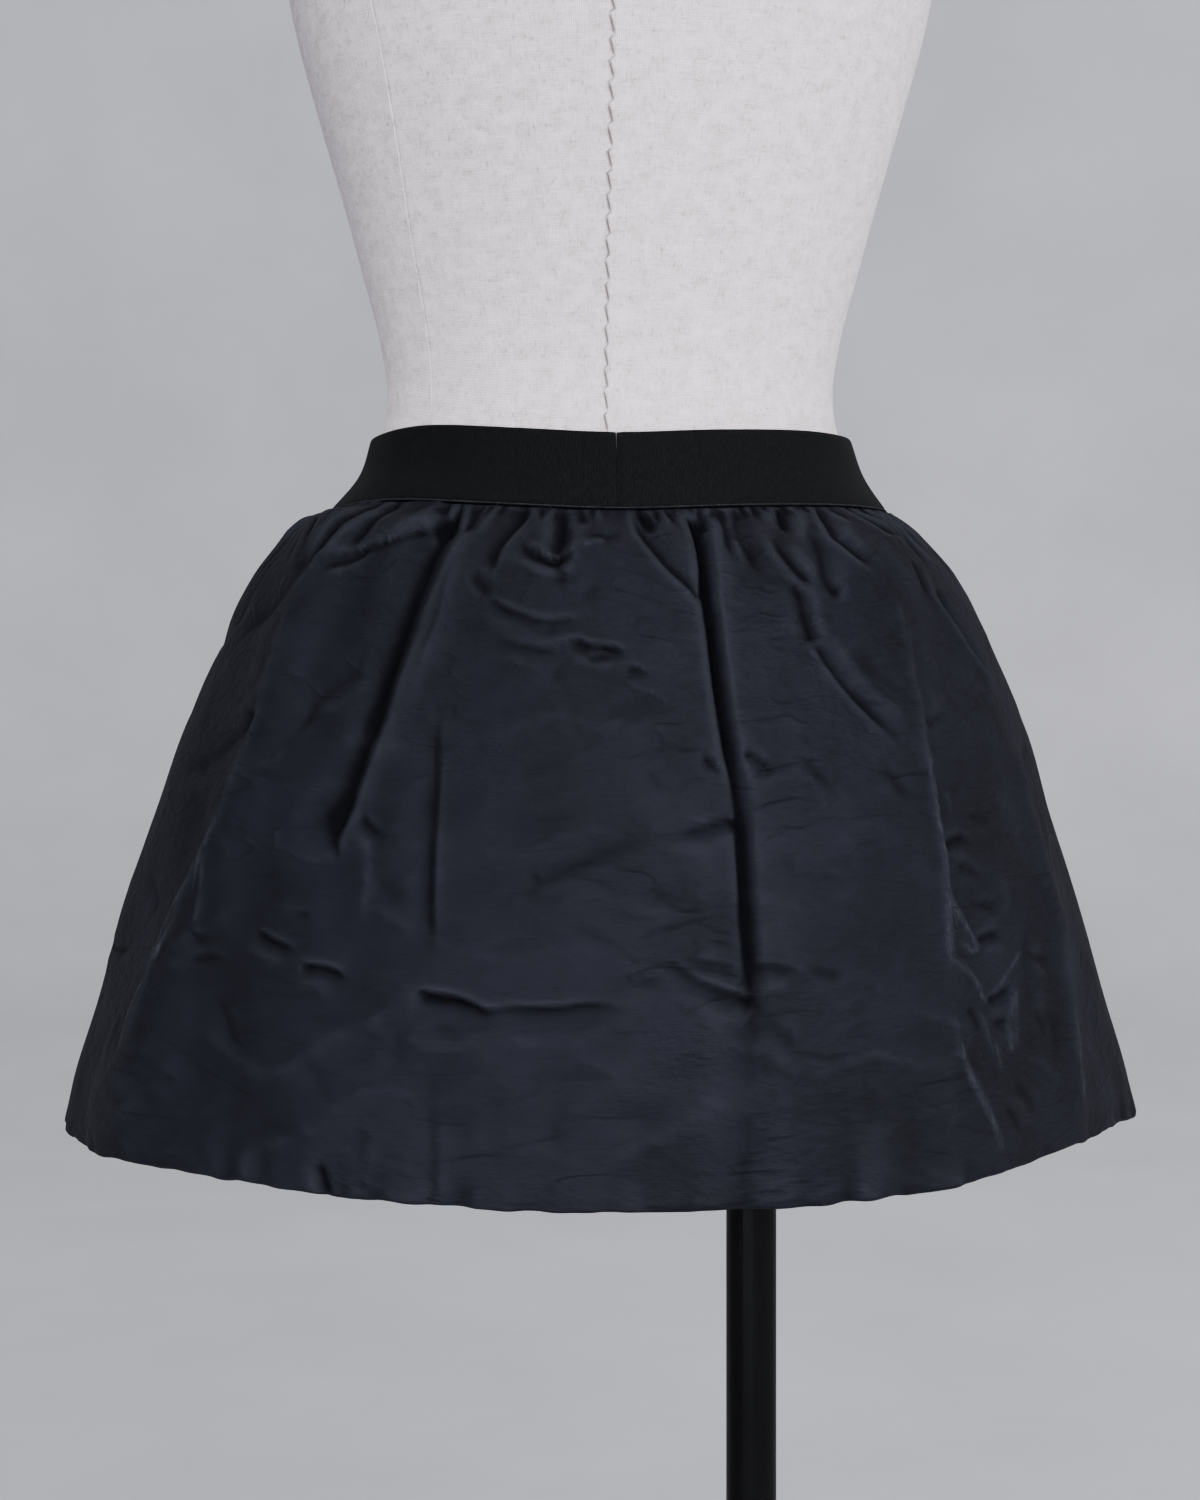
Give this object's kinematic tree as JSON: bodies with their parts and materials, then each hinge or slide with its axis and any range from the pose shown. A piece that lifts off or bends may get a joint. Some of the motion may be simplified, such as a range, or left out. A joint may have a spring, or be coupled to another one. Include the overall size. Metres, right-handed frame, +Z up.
{
  "type": "gathered mini skirt on a limbless dress form",
  "caption": "Short padded skirt, gathered full under a wide elastic waistband, worn by a limbless linen dress form on a round-based pole.",
  "frame": {"origin": "middle of the base plate's underside, on the floor", "axes": "+Z up. -Y is the side that the elastic's centre-back join is on, +Y the wearer's front, +X the wearer's right"},
  "size_m": [0.5463, 0.4056, 1.4663],
  "materials": {
    "padded_cloth": "blue-black taffeta with a soft satin sheen and a fine cross rib, over thin wadding",
    "elastic": "matte black woven elastic",
    "linen": "natural off-white plain-weave linen",
    "pole_paint": "satin black",
    "wood": "oiled beech"
  },
  "bodies": {
    "root": {"back_panel": "padded_cloth", "front_panel": "padded_cloth", "waistband": "elastic", "form_torso": "linen", "arm_board_left": "linen", "arm_board_right": "linen", "neck_cap": "wood", "form_socket": "pole_paint", "pole": "pole_paint", "pole_collar": "pole_paint", "base_plate": "pole_paint"}
  },
  "joints": []
}
